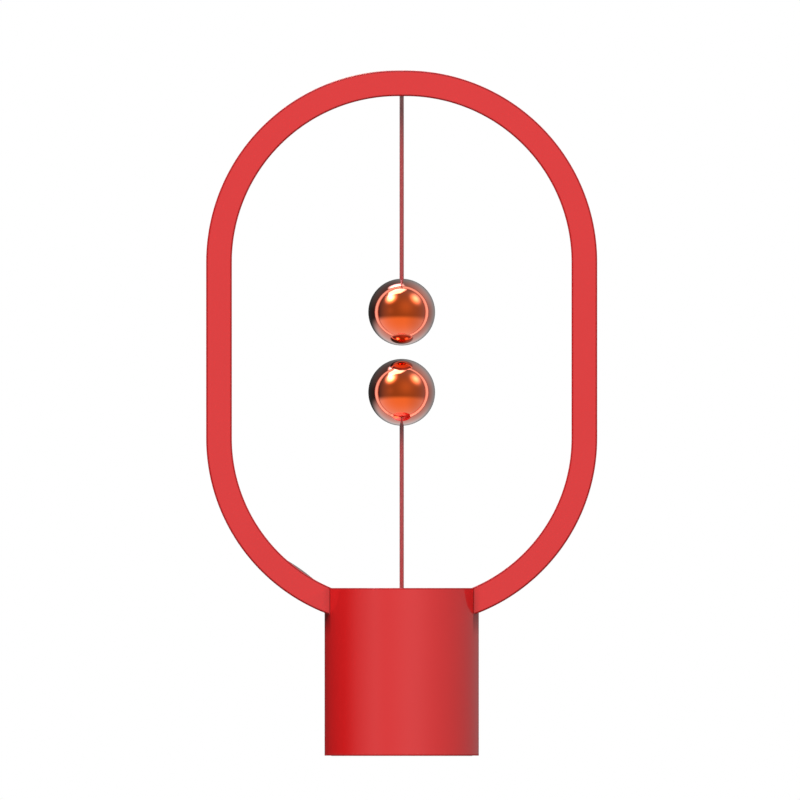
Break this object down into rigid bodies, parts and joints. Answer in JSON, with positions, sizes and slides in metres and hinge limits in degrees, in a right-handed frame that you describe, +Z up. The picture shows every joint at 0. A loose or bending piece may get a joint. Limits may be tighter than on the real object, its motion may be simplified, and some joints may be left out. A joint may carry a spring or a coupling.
{
  "type": "magnetic balance lamp",
  "caption": "Oval ring table lamp on a round weighted base, switched on when two tethered magnetic balls hold each other in mid air",
  "frame": {"origin": "on the floor under the middle of the round base", "axes": "+Z up, -Y the front that the picture shows, +X to the right of the picture; the oval ring lies in the XZ plane"},
  "size_m": [0.2282, 0.09, 0.4],
  "materials": {
    "red_shell": "satin",
    "copper_mirror": "polished",
    "opal_diffuser": "satin",
    "red_cord": "matte",
    "rubber": "matte",
    "black_plastic": "matte",
    "grey_plastic": "satin",
    "white_plastic": "satin",
    "wire": "satin",
    "board_green": "satin",
    "screw_steel": "satin",
    "magnet_steel": "polished",
    "ballast_iron": "matte",
    "crimp_brass": "satin"
  },
  "bodies": {
    "lamp_base": {"foot_pad": "rubber", "bottom_cover": "black_plastic", "cover_screw_1": "screw_steel", "cover_screw_2": "screw_steel", "cover_screw_3": "screw_steel", "ballast_plate": "ballast_iron", "base_shell": "red_shell", "base_lid": "red_shell", "lid_screw_1": "screw_steel", "lid_screw_2": "screw_steel", "lid_screw_3": "screw_steel", "lid_screw_4": "screw_steel", "frame_cradle": "black_plastic", "cradle_screw_1": "screw_steel", "cradle_screw_2": "screw_steel", "frame_screw_1": "screw_steel", "frame_screw_2": "screw_steel", "frame_screw_3": "screw_steel", "frame_screw_4": "screw_steel", "frame_front_shell": "red_shell", "frame_rear_shell": "red_shell", "leg_plug_left": "black_plastic", "leg_plug_right": "black_plastic", "light_diffuser": "opal_diffuser", "led_strip": "white_plastic", "strip_feed_cover": "grey_plastic", "strip_wire": "wire", "switch_wire": "wire", "board_tray": "black_plastic", "control_board": "board_green", "driver_chip": "black_plastic", "filter_capacitor": "black_plastic", "power_socket": "screw_steel", "microswitch_body": "black_plastic", "switch_screw_1": "screw_steel", "switch_screw_2": "screw_steel", "plunger_guide": "white_plastic", "return_spring": "screw_steel", "lower_cord_bush": "grey_plastic", "upper_cord_bush": "grey_plastic", "upper_cord_ferrule": "crimp_brass"},
    "switch_button": {"microswitch_button": "white_plastic"},
    "pull_plunger": {"pull_plunger": "white_plastic", "cord_anchor": "crimp_brass", "lower_cord_tail": "red_cord"},
    "lower_neck": {"lower_cord_neck": "red_cord"},
    "lower_line": {"lower_cord": "red_cord"},
    "lower_ball": {"lower_ball_cord_half": "copper_mirror", "lower_ball_magnet_half": "copper_mirror", "lower_ball_magnet": "magnet_steel", "lower_ball_magnet_holder": "white_plastic", "lower_ball_crimp": "crimp_brass"},
    "upper_neck": {"upper_cord_neck": "red_cord"},
    "upper_ball": {"upper_cord": "red_cord", "upper_ball_cord_half": "copper_mirror", "upper_ball_magnet_half": "copper_mirror", "upper_ball_magnet": "magnet_steel", "upper_ball_magnet_holder": "white_plastic", "upper_ball_crimp": "crimp_brass"}
  },
  "joints": [
    {"name": "switch_pull", "type": "slide", "parent": "lamp_base", "child": "pull_plunger", "axis": [0, 0, 1], "range_m": [-0.003, 0], "deforming": ["return_spring"]},
    {"name": "button_press", "type": "slide", "parent": "lamp_base", "child": "switch_button", "axis": [0, 0, 1], "range_m": [-0.003, 0]},
    {"name": "lower_swing_side", "type": "hinge", "parent": "pull_plunger", "child": "lower_neck", "pos_m": [0, 0, 0.094], "axis": [0, 1, 0], "range_deg": [-7, 7], "stiffness_Nm_per_rad": 0.3},
    {"name": "lower_swing_front", "type": "hinge", "parent": "lower_neck", "child": "lower_line", "pos_m": [0, 0, 0.094], "axis": [1, 0, 0], "range_deg": [-7, 7], "stiffness_Nm_per_rad": 0.3},
    {"name": "ball_lift", "type": "slide", "parent": "lower_line", "child": "lower_ball", "axis": [0, 0, 1], "range_m": [-0.0905, 0], "deforming": ["lower_cord"]},
    {"name": "upper_swing_side", "type": "hinge", "parent": "lamp_base", "child": "upper_neck", "pos_m": [0, 0, 0.388], "axis": [0, 1, 0], "range_deg": [-35, 35]},
    {"name": "upper_swing_front", "type": "hinge", "parent": "upper_neck", "child": "upper_ball", "pos_m": [0, 0, 0.388], "axis": [1, 0, 0], "range_deg": [-30, 30]}
  ],
  "couplings": [
    {"joint": "button_press", "follows": "switch_pull", "ratio": 1}
  ]
}
